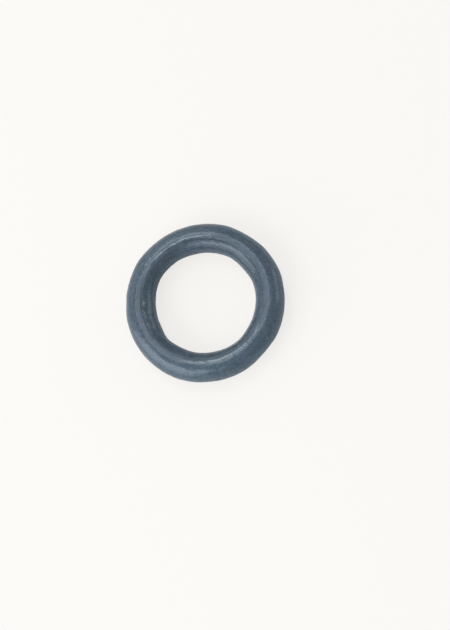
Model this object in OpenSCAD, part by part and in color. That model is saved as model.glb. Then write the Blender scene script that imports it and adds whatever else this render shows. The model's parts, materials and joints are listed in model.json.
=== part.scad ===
// Moulded rubber o-ring, a ring of round section, in millimetres.
// It lies flat: its axis is +Z and the middle of its hole is the origin.

/* [Ring] */
// Diameter of the hole, across the innermost line of the rubber
inner_d = 18; // [8:0.5:60]
// Diameter of the rubber's round section
section_d = 5; // [2:0.1:8]

/* [Seating flats] */
// Height that the crest and the base have each lost where the rubber took a set
flat_depth = 0.04; // [0.01:0.01:0.2]

/* [Mould lines] */
// Turn of the upper line from the crest towards the hole, in degrees
line_angle = 18; // [0:0.5:90]
// Width of a line where it opens at the surface
line_w = 0.34; // [0.1:0.02:0.5]
// Depth of a line below the surface
line_depth = 0.09; // [0.03:0.01:0.12]

/* [Hidden] */

// Radius of the circle that the middle of the rubber runs along
mean_r = (inner_d + section_d) / 2;
// Radius of the round section
section_r = section_d / 2;
// Height of the ring over both flats
ring_h = section_d - 2 * flat_depth;
// Room by which a cutting shape passes the rubber that it trims
overcut = 1;
// The mould's halves meet on opposite sides of the section, so there are two lines
half_turn = 180;
line_angles = [line_angle, line_angle + half_turn];
// Radius of the small circle whose edge, sunk to the line's depth, is as wide as the line
line_r = (pow(line_w / 2, 2) + pow(line_depth, 2)) / (2 * line_depth);
// Straight sides that stand for a full turn of the ring, of its section and of a line
ring_sides = 180;
section_sides = 96;
line_sides = 32;

// The round section, trimmed level at the crest and at the base
module flattened_section() {
    intersection() {
        circle(r = section_r, $fn = section_sides);
        square([section_d + overcut, ring_h], center = true);
    }
}

// One mould line in section: a shallow round groove, turned from the crest towards the hole
module mould_line(angle) {
    rotate(angle)
        translate([0, section_r + line_r - line_depth])
            circle(r = line_r, $fn = line_sides);
}

// The whole section, with its middle at the origin and the hole on its -X side
module ring_section() {
    difference() {
        flattened_section();
        for (angle = line_angles)
            mould_line(angle);
    }
}

module o_ring() {
    color("slategray")
        rotate_extrude($fn = ring_sides)
            translate([mean_r, 0])
                ring_section();
}

o_ring();
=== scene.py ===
# %% [markdown]
# A rubber o-ring is one moulded piece: a round section turned about an axis. Its CAD frame is
# exact and plain. This lesson loads that frame and models the ring again inside it with Blender's
# own tools, so that it gets the small unevenness of real rubber. Then it is finished, lit and
# framed. Lengths are metres in the frame's axes: +Z is the ring's axis, and the middle of the hole
# is the origin.

# %% Load the CAD frame
import json
import math

import bmesh
import bpy
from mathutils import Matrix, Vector

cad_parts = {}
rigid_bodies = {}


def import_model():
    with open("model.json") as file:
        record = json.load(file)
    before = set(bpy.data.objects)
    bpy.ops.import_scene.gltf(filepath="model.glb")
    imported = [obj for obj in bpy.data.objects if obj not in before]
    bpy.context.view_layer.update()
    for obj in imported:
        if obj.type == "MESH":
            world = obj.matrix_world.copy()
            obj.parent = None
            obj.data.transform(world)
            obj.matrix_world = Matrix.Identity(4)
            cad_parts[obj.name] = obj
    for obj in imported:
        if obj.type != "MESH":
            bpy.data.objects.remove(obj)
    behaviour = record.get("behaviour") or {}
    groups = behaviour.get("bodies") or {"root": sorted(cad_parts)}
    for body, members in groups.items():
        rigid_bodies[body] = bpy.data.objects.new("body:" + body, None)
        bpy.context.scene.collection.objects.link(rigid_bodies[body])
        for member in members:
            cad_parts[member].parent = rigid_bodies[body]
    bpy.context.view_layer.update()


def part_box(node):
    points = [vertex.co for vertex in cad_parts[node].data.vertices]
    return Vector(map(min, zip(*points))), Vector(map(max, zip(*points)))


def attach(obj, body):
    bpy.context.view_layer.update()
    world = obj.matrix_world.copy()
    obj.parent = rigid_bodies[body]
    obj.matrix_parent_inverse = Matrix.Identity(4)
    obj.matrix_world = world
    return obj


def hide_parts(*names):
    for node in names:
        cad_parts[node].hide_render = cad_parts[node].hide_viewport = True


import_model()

# %% [markdown]
# The frame knows how wide and how high the ring is. Only the depth of its two seating flats can't
# be read from a box, so that is a value here. The rest follows: the radius of the round section,
# and the radius of the circle that the middle of the rubber runs along.

# %% Sizes from the frame
MM = 0.001
FLAT_DEPTH = 0.04 * MM

ring_low, ring_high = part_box("o_ring")
half_height = (ring_high.z - ring_low.z) / 2
section_r = half_height + FLAT_DEPTH
mean_r = ring_high.x - section_r
print("section radius %.3f mm, mean radius %.3f mm" % (section_r / MM, mean_r / MM))

# %% [markdown]
# Edit mode's operators act on what is selected, and a script has no mouse. These helpers find a
# point by where it lies: its azimuth round the ring and its angle round the section, from 0 at the
# crest to 90 at the hole, 180 at the base and 270 at the rim.

# %% Find points by their place
def azimuth_of(place):
    return math.degrees(math.atan2(place.y, place.x)) % 360


def section_angle_of(place):
    inward = mean_r - math.hypot(place.x, place.y)
    return math.degrees(math.atan2(inward, place.z)) % 360


def apart(first, second):
    """Degrees between two directions, the short way round."""
    return abs((first - second + 180) % 360 - 180)


def pick(test):
    """Selects the points whose place passes a test, with the edges and faces between them."""
    bpy.ops.mesh.select_all(action="DESELECT")
    mesh = bmesh.from_edit_mesh(bpy.context.object.data)
    chosen = [point for point in mesh.verts if test(point.co)]
    for point in chosen:
        point.select = True
    mesh.select_flush(True)
    bmesh.update_edit_mesh(bpy.context.object.data)
    return len(chosen)


def pick_patch(azimuth, angle, half_length, half_turn):
    """Selects a patch: half_length degrees along the ring and half_turn round the section."""
    return pick(
        lambda place: apart(azimuth_of(place), azimuth) < half_length
        and apart(section_angle_of(place), angle) < half_turn
    )


# %% [markdown]
# A turned shape starts from its section, here a circle of points where the rubber is cut by the XZ
# plane. Where the ring was squeezed its crest has taken a set: the top is nearly flat, and the flat
# leans towards the hole. So the section is turned until that side is up, scaled down, and turned
# back.

# %% Draw the section with its worn crest
SECTION_POINTS = 80
CREST_LEAN = 5.5
CREST_HALF = 10.5
CREST_KEEPS = 0.3


def turn_section(degrees):
    """Turns all of the section about its middle, the crest towards the hole."""
    bpy.ops.mesh.select_all(action="SELECT")
    bpy.ops.transform.rotate(
        value=math.radians(degrees), orient_axis="Y", center_override=(mean_r, 0, 0)
    )


bpy.ops.object.select_all(action="DESELECT")
bpy.ops.mesh.primitive_circle_add(
    vertices=SECTION_POINTS,
    radius=section_r,
    location=(mean_r, 0, 0),
    rotation=(math.radians(90), 0, 0),
)
ring = bpy.context.object
ring.name = "moulded_ring"
bpy.ops.object.transform_apply(location=True, rotation=True, scale=True)
bpy.ops.object.mode_set(mode="EDIT")
turn_section(-CREST_LEAN)
flat_z = section_r * math.cos(math.radians(CREST_HALF))
count = pick(lambda place: place.z > flat_z)
bpy.ops.transform.resize(value=(1, 1, CREST_KEEPS), center_override=(mean_r, 0, flat_z))
turn_section(CREST_LEAN)
print("points on the crest of the section", count)

# %% [markdown]
# Spin sweeps the section once round the axis, as the two halves of the mould were turned. A full
# turn closes on itself. A spin can leave a shape inside out, so the normals are made to point out.
# The mould's halves meet along two lines, just inside the crest and opposite, under the base. Those
# two loops of points are kept as vertex groups, so they can still be found on a deformed ring. A
# half length just over 180 degrees takes in the whole ring.

# %% Turn it into a ring
RING_STEPS = 432
MERGE_WITHIN = 0.001 * MM
LINE_ANGLES = {"upper_line": 18, "lower_line": 198}
LOOP_HALF = 1
ALL_ROUND = 181

bpy.ops.mesh.select_all(action="SELECT")
bpy.ops.mesh.spin(steps=RING_STEPS, angle=math.radians(360), center=(0, 0, 0), axis=(0, 0, 1))
bpy.ops.mesh.select_all(action="SELECT")
bpy.ops.mesh.remove_doubles(threshold=MERGE_WITHIN)
bpy.ops.mesh.normals_make_consistent(inside=False)
for name, angle in LINE_ANGLES.items():
    count = pick_patch(0, angle, ALL_ROUND, LOOP_HALF)
    bpy.ops.object.vertex_group_assign_new()
    ring.vertex_groups.active.name = name
    print(name, "points", count)

# %% [markdown]
# The skin will be roughened soon, but the crest was pressed and rubbed nearly smooth. A vertex
# group holds a weight for each point, which a modifier can be told to follow. Each point gets the
# full weight, those of the crest get a fifth of it, and two passes of smoothing blend the border.

# %% Mark how rough the skin may be
CREST_SKIN = 0.2
CREST_MARGIN = 3
BORDER_BLEND = 0.5
BLEND_PASSES = 2

bpy.ops.mesh.select_all(action="SELECT")
bpy.ops.object.vertex_group_assign_new()
ring.vertex_groups.active.name = "skin"
bpy.context.scene.tool_settings.vertex_group_weight = CREST_SKIN
count = pick_patch(0, CREST_LEAN, ALL_ROUND, CREST_HALF + CREST_MARGIN)
bpy.ops.object.vertex_group_assign()
bpy.ops.mesh.select_all(action="SELECT")
bpy.ops.object.vertex_group_smooth(
    group_select_mode="ACTIVE", factor=BORDER_BLEND, repeat=BLEND_PASSES
)
print("points of the smoother crest", count)

# %% [markdown]
# The real ring isn't a true circle. It has been pulled a little oval, so it is turned until the
# long way lies along X, stretched, and turned back. The hole, the rim and the crest also stray from
# that oval at places. Each such place is a short column of points, moved along the radius with a
# wide proportional reach, as a thumb would press the rubber. A move with a minus goes towards the
# axis.

# %% Press the ring out of true
CREST, HOLE, RIM = 5, 90, 270
UNEVEN_PLACES = [
    # azimuth in degrees, side of the section, move away from the axis in mm, reach in mm
    (203, HOLE, -0.38, 4.0),
    (181, HOLE, -0.26, 3.0),
    (146, HOLE, 0.28, 3.8),
    (123, HOLE, 0.22, 3.8),
    (42, HOLE, -0.19, 3.6),
    (245, HOLE, -0.14, 3.6),
    (310, HOLE, 0.20, 4.2),
    (22, RIM, 0.08, 3.0),
    (58, RIM, -0.13, 4.2),
    (148, RIM, 0.14, 4.0),
    (182, RIM, -0.08, 3.0),
    (250, RIM, 0.10, 6.0),
    (318, RIM, -0.20, 4.4),
    (70, CREST, -0.08, 3.2),
    (90, CREST, -0.09, 3.2),
    (108, CREST, -0.08, 3.2),
    (276, CREST, 0.14, 3.2),
    (292, CREST, 0.22, 3.4),
    (312, CREST, 0.14, 3.2),
    (336, CREST, 0.08, 3.2),
    (354, CREST, 0.07, 3.2),
]
COLUMN_HALF = 0.5
WALL_HALF = 25
OVAL_AZIMUTH = 117
OVAL_PULL = 1.027


def turn_ring(degrees):
    """Turns all of the ring about its axis."""
    bpy.ops.mesh.select_all(action="SELECT")
    bpy.ops.transform.rotate(
        value=math.radians(degrees), orient_axis="Z", center_override=(0, 0, 0)
    )


turn_ring(OVAL_AZIMUTH)
bpy.ops.transform.resize(value=(OVAL_PULL, 1, 1), center_override=(0, 0, 0))
turn_ring(-OVAL_AZIMUTH)
for azimuth, side, move, reach in UNEVEN_PLACES:
    pick_patch(azimuth, side, COLUMN_HALF, WALL_HALF)
    outwards = Vector((math.cos(math.radians(azimuth)), math.sin(math.radians(azimuth)), 0))
    bpy.ops.transform.translate(
        value=outwards * move * MM,
        use_proportional_edit=True,
        proportional_edit_falloff="SMOOTH",
        proportional_size=reach * MM,
    )
print("uneven places", len(UNEVEN_PLACES))

# %% [markdown]
# Moulded rubber is never quite smooth. Two Displace modifiers move the skin along its normals by
# cloudy textures, one slow and one fine, and follow the skin's weights. Both textures depend on
# place alone, so they come out the same on each run. They are applied at once, because the next
# step works on the shape that they give.

# %% Roughen the skin
SKIN_LUMPS = [
    # name, width of a lump, height from its lowest to its highest
    ("slow_lumps", 2.0 * MM, 0.08 * MM),
    ("fine_lumps", 0.7 * MM, 0.045 * MM),
]

bpy.ops.object.mode_set(mode="OBJECT")
for name, width, height in SKIN_LUMPS:
    clouds = bpy.data.textures.new(name, "CLOUDS")
    clouds.noise_scale = width
    bpy.ops.object.modifier_add(type="DISPLACE")
    lumps = ring.modifiers[-1]
    lumps.name = name
    lumps.texture = clouds
    lumps.vertex_group = "skin"
    lumps.strength = height
    bpy.ops.object.modifier_apply(modifier=name)
print("points after the lumps", len(ring.data.vertices))

# %% [markdown]
# The base is pressed quite level, so the ring sits on the floor. What lies below the flat's height
# is scaled to nothing in Z about that height, and the flat gets the wandering edge that a press
# leaves on a lumpy surface.

# %% Press the base level
bpy.ops.object.mode_set(mode="EDIT")
count = pick(lambda place: place.z < -half_height)
bpy.ops.transform.resize(value=(1, 1, 0), center_override=(0, 0, -half_height))
print("points on the base", count)

# %% [markdown]
# A mould line is a fine groove. A bevel widens its loop of edges to a strip of rows. Select Less
# takes a row off both sides, so three times leaves the middle row alone, and that is what is pushed
# in. The line isn't the same all the way round. On one stretch the mould's halves stood open, on
# another they only just show, and elsewhere the rubber all but filled the gap. So the open stretch
# is pushed in three times, over a shorter length each time, and its ends run out gently.

# %% Press in the mould lines
LINE_W = 0.34 * MM
ROWS_EACH_SIDE = 3
LINE_STRETCHES = [
    # line, azimuth, half length in degrees, depth in mm, reach in mm
    ("lower_line", 0, ALL_ROUND, 0.09, 0.17),
    ("upper_line", 0, ALL_ROUND, 0.01, 0.17),
    ("upper_line", 76, 36, 0.03, 0.22),
    ("upper_line", 82, 28, 0.05, 0.28),
    ("upper_line", 89, 19, 0.08, 0.30),
    ("upper_line", 198, 24, 0.02, 0.22),
]


def swell(height, reach):
    """Moves what is selected out along its normals, and its surroundings smoothly less."""
    bpy.ops.transform.shrink_fatten(
        value=height,
        use_proportional_edit=True,
        proportional_edit_falloff="SMOOTH",
        proportional_size=reach,
    )


def recall(name, azimuth, half_length):
    """Selects the points of a vertex group that lie near an azimuth."""
    bpy.ops.mesh.select_all(action="DESELECT")
    bpy.ops.object.vertex_group_set_active(group=name)
    bpy.ops.object.vertex_group_select()
    mesh = bmesh.from_edit_mesh(ring.data)
    for point in mesh.verts:
        if apart(azimuth_of(point.co), azimuth) > half_length:
            point.select = False
    mesh.select_flush(False)
    bmesh.update_edit_mesh(ring.data)


for name in LINE_ANGLES:
    recall(name, 0, ALL_ROUND)
    bpy.ops.mesh.bevel(offset=LINE_W / 2, segments=2 * ROWS_EACH_SIDE, profile=0.5)
    for row in range(ROWS_EACH_SIDE):
        bpy.ops.mesh.select_less()
    bpy.ops.object.vertex_group_assign_new()
    ring.vertex_groups.active.name = name + "_middle"
for name, azimuth, half_length, depth, reach in LINE_STRETCHES:
    recall(name + "_middle", azimuth, half_length)
    swell(-depth * MM, reach * MM)
    print(name, "pushed in by", depth, "mm near azimuth", azimuth)

# %% [markdown]
# Three small nibs stand just inside the mould line, as a mould's vents may leave them. Low ridges
# run along the crest where the rubber was rubbed, some narrow and some broad. They are only
# hundredths of a millimetre high, but a highlight shows them. Each is a patch of points, swollen
# along its normals.

# %% Raise the nibs and ridges
BUMPS = [
    # azimuth, section angle, half length in degrees, height in mm, reach in mm
    (184, 31, 3.2, 0.24, 0.46),
    (195, 31, 3.6, 0.22, 0.46),
    (207, 33, 1.6, 0.18, 0.42),
    (98, 9, 17, 0.028, 0.26),
    (124, 4.5, 17, 0.026, 0.24),
    (136, 357, 12, 0.016, 0.22),
    (120, 12, 36, 0.035, 0.60),
    (293, 2, 34, 0.020, 0.55),
]
BUMP_TURN = 2.3

for azimuth, angle, half_length, height, reach in BUMPS:
    count = pick_patch(azimuth, angle, half_length, BUMP_TURN)
    swell(height * MM, reach * MM)
    print("azimuth", azimuth, "points raised by", height, "mm:", count)
bpy.ops.object.mode_set(mode="OBJECT")
bpy.ops.object.shade_smooth()
print("triangles", sum(len(face.vertices) - 2 for face in ring.data.polygons))

# %% [markdown]
# A material is easier to read as sums than as a web of nodes. This small class stands for one
# socket, and Python's signs on it add Math nodes. Its add method adds any other node.

# %% A socket that can be added and multiplied
class Wire:
    """One socket of a node tree."""

    def __init__(self, tree, socket=None):
        self.tree = tree
        self.socket = socket

    def add(self, kind, settings, sockets, output=0):
        """Adds a node: its settings first, then a value or a wire for each socket named."""
        node = self.tree.nodes.new(kind)
        for name, value in settings.items():
            setattr(node, name, value)
        for name, value in sockets.items():
            entry = next(socket for socket in node.inputs if socket.identifier == name)
            if isinstance(value, Wire):
                self.tree.links.new(value.socket, entry)
            else:
                entry.default_value = value
        return Wire(self.tree, node.outputs[output]) if node.outputs else self

    def math(self, operation, first, second=0.0):
        values = {"Value": first, "Value_001": second}
        return self.add("ShaderNodeMath", {"operation": operation}, values)

    def __add__(self, other):
        return self.math("ADD", self, other)

    def __sub__(self, other):
        return self.math("SUBTRACT", self, other)

    def __rsub__(self, other):
        return self.math("SUBTRACT", other, self)

    def __mul__(self, other):
        return self.math("MULTIPLY", self, other)

    def __truediv__(self, other):
        return self.math("DIVIDE", self, other)

    __radd__ = __add__
    __rmul__ = __mul__


def start_nodes(holder):
    """Empties the node tree of a material or a world and returns a wire to build from."""
    holder.use_nodes = True
    holder.node_tree.nodes.clear()
    return Wire(holder.node_tree)


def rise(wire, low, high):
    """0 below low, 1 above high, and a smooth rise between them."""
    sockets = {"Value": wire, "From Min": low, "From Max": high}
    return wire.add("ShaderNodeMapRange", {"interpolation_type": "SMOOTHSTEP"}, sockets)


def mix_colours(factor, first, second):
    sockets = {"Factor_Float": factor, "A_Color": first, "B_Color": second}
    return factor.add("ShaderNodeMix", {"data_type": "RGBA"}, sockets, output=2)


# %% [markdown]
# The rubber's pattern follows the ring, so the material first works out where a point lies: its
# distance from the axis, and its angle round the section, 0 at the crest and growing towards the
# hole. All of it comes from Object coordinates, so it stays on the rubber from any side.

# %% Where on the ring a point lies
rubber = bpy.data.materials.new("satin_rubber")
bench = start_nodes(rubber)
place = bench.add("ShaderNodeTexCoord", {}, {}, output=3)
x, y, z = [
    bench.add("ShaderNodeSeparateXYZ", {}, {"Vector": place}, output=axis) for axis in range(3)
]
from_axis = bench.math("SQRT", x * x + y * y)
inward = mean_r - from_axis
angle = bench.math("ARCTAN2", inward, z)

# %% [markdown]
# Close up, the rubber is mottled. Noise at three sizes gives wide patches, spots of about half a
# millimetre and a fine grain. Streaks run along the ring, the way the rubber flowed in the mould.
# They need coordinates that change slowly round the ring and fast across it: the direction from
# the axis, the distance from the axis, and the height as the fourth.

# %% Mottling and streaks
def noise(scale, detail, roughness=0.5):
    """Cloudy noise from 0 to 1, with features about 1 / scale metres wide."""
    sockets = {"Vector": place, "Scale": scale, "Detail": detail, "Roughness": roughness}
    return bench.add("ShaderNodeTexNoise", {}, sockets)


def streaks(length, fineness):
    """Noise drawn out along the ring: a streak spans 1 / length radians and 1 / fineness metres."""
    direction = bench.add("ShaderNodeCombineXYZ", {}, {
        "X": x / from_axis * length,
        "Y": y / from_axis * length,
        "Z": inward * fineness,
    })
    return bench.add("ShaderNodeTexNoise", {"noise_dimensions": "4D"}, {
        "Vector": direction,
        "W": z * fineness,
        "Scale": 1.0,
        "Detail": 2.0,
        "Roughness": 0.55,
    })


patches = noise(240, 2)
spots = noise(1300, 2, 0.6)
grain = noise(3000, 1, 0.6)
flow = streaks(9, 3400)

# %% [markdown]
# The ring's marks lie in bands and on stretches, so the material needs masks that are 1 there and
# 0 elsewhere. A band round the section is a range of the angle. A stretch of the ring comes from
# the direction from the axis: its cosine to the stretch's middle is 1 there and falls off on both
# sides. One times the other is a patch, and both have soft edges.

# %% Two kinds of mask
def sector(azimuth, half_length):
    """1 near an azimuth of the ring, running out to 0 half_length degrees away."""
    middle = math.radians(azimuth)
    along = (x * math.cos(middle) + y * math.sin(middle)) / from_axis
    edge = math.radians(half_length)
    return rise(along, math.cos(edge), math.cos(edge / 2))


def band(start, full, fades, gone):
    """1 over a range of angles round the section, with a smooth edge on both sides."""
    return rise(angle, start, full) * (1 - rise(angle, fades, gone))


# %% [markdown]
# The crest's own band begins on the shoulder and ends where the flat does. Shade is painted into
# the mould line, strongly where it is open and less where it only shows. Shade is also painted on
# the wall just inside the line, except on one strip where the wall is lit, and deeper in, a stretch
# of the wall is made darker and duller. Dirt and wear are the likely causes, but nothing shows
# which. A stretch is an azimuth and a half length in degrees. Round the section a band's ends are
# radians, as the shader counts them, or shares of the shoulder's or the line's angle, which is 0.31
# for the line.

# %% Masks for the crest, the painted shade and the darker wall
CREST_START = 1.6
CREST_FULL = 0.6
EDGE_BLUR = 0.03
OPEN_LINE = (84, 36)
SHOWING_LINE = (193, 28)
SHOWING_SHARE = 0.6
GROOVE_SHIFT = 0.03
GROOVE_FADE = (0.02, 0.075)
BESIDE_START = 0.95
BESIDE_FULL = 1.1
BESIDE_FADE = (0.52, 0.80)
LIT_STRIP = (76, 44)
DULL_WALL = (56, 48)
DULL_BAND = (0.54, 0.66, 0.95, 1.1)

line_at = math.radians(LINE_ANGLES["upper_line"])
shoulder_at = math.radians(CREST_LEAN - CREST_HALF)
edge_at = math.radians(CREST_LEAN + CREST_HALF)
crest = band(
    shoulder_at * CREST_START, shoulder_at * CREST_FULL, edge_at - EDGE_BLUR, edge_at + EDGE_BLUR
)
# Painted shade in the mould line's groove, strongest where the line is open.
from_groove = bench.math("ABSOLUTE", angle - line_at + GROOVE_SHIFT)
shade_in_groove = sector(*OPEN_LINE) + SHOWING_SHARE * sector(*SHOWING_LINE)
shade_in_groove = shade_in_groove * (1 - rise(from_groove, *GROOVE_FADE))
# Painted shade on the wall just inside the line, left off the strip where the wall is lit.
shade_beside_line = band(line_at * BESIDE_START, line_at * BESIDE_FULL, *BESIDE_FADE)
shade_beside_line = shade_beside_line * (1 - sector(*LIT_STRIP))
# A stretch deep on the wall, made darker here and duller in the roughness below.
dull = sector(*DULL_WALL) * band(*DULL_BAND)
print("masks run from %.2f to %.2f round the section" % (shoulder_at * CREST_START, DULL_BAND[-1]))

# %% [markdown]
# Its colour is a dark blue-grey that leans to violet in some patches and to green in others. A pale
# bloom lies on the crest, where the rubber was squeezed and rubbed, and ends at the mould line.
# Each layer is mixed or multiplied over the one before. A pattern's share says how far it lightens
# or darkens the rubber. On the crest the mottling is calmer and the streaks are stronger.

# %% Colour of the rubber
VIOLET_GREY = (0.0535, 0.0755, 0.106, 1)
GREEN_GREY = (0.0475, 0.077, 0.102, 1)
BLOOM = (0.054, 0.077, 0.102, 1)
PATCH_EDGE = (0.34, 0.66)
BLOOM_EDGE = (0.30, 0.70)
NOISE_MEAN = 0.5
SPOT_SHADE = 0.60
GRAIN_SHADE = 0.95
CREST_CALM = 0.45
FLOW_SHADE = 0.50
CREST_FLOW = 0.60
PAINTED_SHADE_BESIDE = 0.15
PAINTED_GROOVE_SHADE = 0.4
DULL_SHADE = 0.32

colour = mix_colours(rise(patches, *PATCH_EDGE), VIOLET_GREY, GREEN_GREY)
colour = mix_colours(crest * rise(flow, *BLOOM_EDGE), colour, BLOOM)
mottle = SPOT_SHADE * (spots - NOISE_MEAN) + GRAIN_SHADE * (grain - NOISE_MEAN)
shade = 1 + mottle * (1 - CREST_CALM * crest)
shade = shade + (FLOW_SHADE + CREST_FLOW * crest) * (flow - NOISE_MEAN)
# The last three factors paint shade beside the line and in its groove, and darken a stretch deep on
# the wall.
shade = shade * (1 - PAINTED_SHADE_BESIDE * shade_beside_line) * (1 - PAINTED_GROOVE_SHADE * shade_in_groove) * (1 - DULL_SHADE * dull)
colour = bench.add("ShaderNodeVectorMath", {"operation": "MULTIPLY"}, {
    "Vector": colour,
    "Vector_001": bench.add("ShaderNodeCombineXYZ", {}, {"X": shade, "Y": shade, "Z": shade}),
})

# %% [markdown]
# The skin is satin, and how satin is one number, the roughness. The same mottling makes some spots
# duller than others. Two stretches of the crest are shinier, and the dark places in the line and on
# the wall are duller.

# %% How glossy each place is
SATIN = 0.18
CREST_WEAR = 0.08
POLISH = 0.16
SHINY_AT_TOP = (118, 48)
SHINY_IN_FRONT = (296, 50)
SPOT_ROUGH = 0.12
FLOW_ROUGH = 0.06
GROOVE_ROUGH = 0.3
DULL_ROUGH = 0.1

polish = sector(*SHINY_AT_TOP) + sector(*SHINY_IN_FRONT)
roughness = SATIN + (CREST_WEAR - POLISH * polish) * crest
roughness = roughness + SPOT_ROUGH * spots + FLOW_ROUGH * flow
roughness = roughness + GROOVE_ROUGH * shade_in_groove + DULL_ROUGH * dull

# %% [markdown]
# The lines, nibs and lumps are real geometry. What is finer than that, a grain of some hundredths
# of a millimetre, is left to a Bump node, which only breaks up the reflections. A Principled shader
# takes the colour, the roughness and the relief together.

# %% Fine relief and the finished rubber
RELIEF = 0.05 * MM
SPOT_RELIEF = 0.6
GRAIN_RELIEF = 0.35
CREST_SMOOTH = 0.7
FLOW_RELIEF = 0.6
CREST_STREAKS = 0.3
RUBBER_IOR = 1.5
GLOSS_TINT = (0.82, 0.93, 1.0, 1)

relief = (SPOT_RELIEF * spots + GRAIN_RELIEF * grain) * (1 - CREST_SMOOTH * crest)
relief = relief + (FLOW_RELIEF + CREST_STREAKS * crest) * flow
bump = bench.add("ShaderNodeBump", {}, {"Strength": 1.0, "Distance": RELIEF, "Height": relief})
surface = bench.add("ShaderNodeBsdfPrincipled", {}, {
    "Base Color": colour,
    "Roughness": roughness,
    "Normal": bump,
    "IOR": RUBBER_IOR,
    "Specular Tint": GLOSS_TINT,
})
bench.add("ShaderNodeOutputMaterial", {}, {"Surface": surface})
print("nodes in the rubber", len(rubber.node_tree.nodes))

# %% [markdown]
# The ring takes the rubber, and the CAD's own ring is hidden. The ring rides on the root body,
# since nothing on it moves.

# %% Hand the ring to the frame
ring.data.materials.clear()
ring.data.materials.append(rubber)
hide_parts("o_ring")
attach(ring, "root")

# %% [markdown]
# The ring lies on a plain pale floor. Light Path tells a camera ray from the rest, so the floor can
# look as bright as the picture's ground and still give the ring no more light than matt paint
# would. A fifth of the matt shader stays in the mix, and that keeps the ring's shadow.

# %% Lay the floor
FLOOR_SIZE = 4.0
FLOOR_PAINT = (0.78, 0.78, 0.77, 1)
FLOOR_SEEN = (0.955, 0.94, 0.915, 1)
GLOW_SHARE = 0.8

bpy.ops.object.select_all(action="DESELECT")
bpy.ops.mesh.primitive_plane_add(size=FLOOR_SIZE, location=(0, 0, ring_low.z))
floor = bpy.context.object
floor.name = "floor"
paint = bpy.data.materials.new("pale_floor")
bench = start_nodes(paint)
seen = bench.add("ShaderNodeLightPath", {}, {}, output=0)
matt = bench.add("ShaderNodeBsdfDiffuse", {}, {"Color": FLOOR_PAINT})
glow = bench.add("ShaderNodeEmission", {}, {"Color": FLOOR_SEEN, "Strength": 1.0})
both = bench.add("ShaderNodeMixShader", {}, {
    "Fac": seen * GLOW_SHARE,
    "Shader": matt,
    "Shader_001": glow,
})
bench.add("ShaderNodeOutputMaterial", {}, {"Surface": both})
floor.data.materials.append(paint)
print("floor", FLOOR_SIZE, "m wide, at", round(ring_low.z / MM, 2), "mm")

# %% [markdown]
# Six softboxes stand for a studio. Satin rubber shows them as bands, so their place matters more
# than their power: each is aimed at the ring from an azimuth and an angle down from overhead. Power
# follows from the brightness of the box's face, so that a box can be resized without changing it.

# %% Hang the softboxes
BOX_DISTANCE = 0.6
SOFTBOXES = [
    # name, azimuth and angle from overhead in degrees, width and height in metres, brightness
    ("overhead", 125, 14, 0.44, 0.40, 0.65),
    ("upper_left", 121, 29, 0.08, 0.24, 8.6),
    ("low_upper_left", 130, 63, 0.70, 0.32, 0.7),
    ("lower_left", 227, 49, 0.72, 0.23, 4.5),
    ("low_left", 220, 75, 0.80, 0.26, 2.9),
    ("right", 30, 74, 0.34, 0.22, 1.8),
]


def softbox(name, azimuth, from_zenith, width, height, brightness):
    """A rectangular lamp that faces the ring, with a face of a given brightness."""
    round_ring = math.radians(azimuth)
    down = math.radians(from_zenith)
    level = math.sin(down)
    towards = Vector((level * math.cos(round_ring), level * math.sin(round_ring), math.cos(down)))
    lamp = bpy.data.lights.new(name, "AREA")
    lamp.shape = "RECTANGLE"
    lamp.size = width
    lamp.size_y = height
    lamp.energy = brightness * math.pi * width * height
    holder = bpy.data.objects.new(name, lamp)
    bpy.context.scene.collection.objects.link(holder)
    holder.location = towards * BOX_DISTANCE
    holder.rotation_euler = towards.to_track_quat("Z", "Y").to_euler()


for box in SOFTBOXES:
    softbox(*box)
print("softboxes", len(SOFTBOXES))

# %% [markdown]
# The room itself adds an even, dim light, so that no side of the ring goes black. Where the camera
# looks past the floor it sees the same pale tone as the floor's.

# %% Fill the room with light
ROOM_LIGHT = (0.54, 0.54, 0.55, 1)
ROOM_SEEN = (0.93, 0.93, 0.92, 1)

world = bpy.data.worlds.new("room")
bpy.context.scene.world = world
bench = start_nodes(world)
seen = bench.add("ShaderNodeLightPath", {}, {}, output=0)
tone = mix_colours(seen, ROOM_LIGHT, ROOM_SEEN)
air = bench.add("ShaderNodeBackground", {}, {"Color": tone, "Strength": 1.0})
bench.add("ShaderNodeOutputWorld", {}, {"Surface": air})

# %% [markdown]
# The camera stands almost overhead, tipped a little towards the lower right. The picture is 450 by
# 630 pixels. The ring's width in pixels gives the scale, and the lens follows from the camera's
# distance. The camera is slid sideways, so the ring lands where it lies in the picture.

# %% Frame the picture
PHOTO_W = 450
PHOTO_H = 630
RING_AT = (204.85, 302.4)
RING_PX = 161.4
TILT = 21
TOWARDS = -55
DISTANCE = 0.45
NEAREST = 0.01

metres_per_px = 2 * ring_high.x / RING_PX
tilt = math.radians(TILT)
turn = math.radians(TOWARDS)
back = Vector((math.sin(tilt) * math.cos(turn), math.sin(tilt) * math.sin(turn), math.cos(tilt)))
stand = Vector((0, 0, 1)).rotation_difference(back)
right = stand @ Vector((1, 0, 0))
up = stand @ Vector((0, 1, 0))
slide = right * (PHOTO_W / 2 - RING_AT[0]) - up * (PHOTO_H / 2 - RING_AT[1])

camera = bpy.data.objects.new("camera", bpy.data.cameras.new("camera"))
bpy.context.scene.collection.objects.link(camera)
camera.rotation_mode = "QUATERNION"
camera.rotation_quaternion = stand
camera.location = back * DISTANCE + slide * metres_per_px
camera.data.lens = camera.data.sensor_width * DISTANCE / (PHOTO_H * metres_per_px)
camera.data.clip_start = NEAREST
bpy.context.scene.camera = camera
bpy.context.scene.view_settings.view_transform = "Standard"
print("lens in mm", round(camera.data.lens, 1))
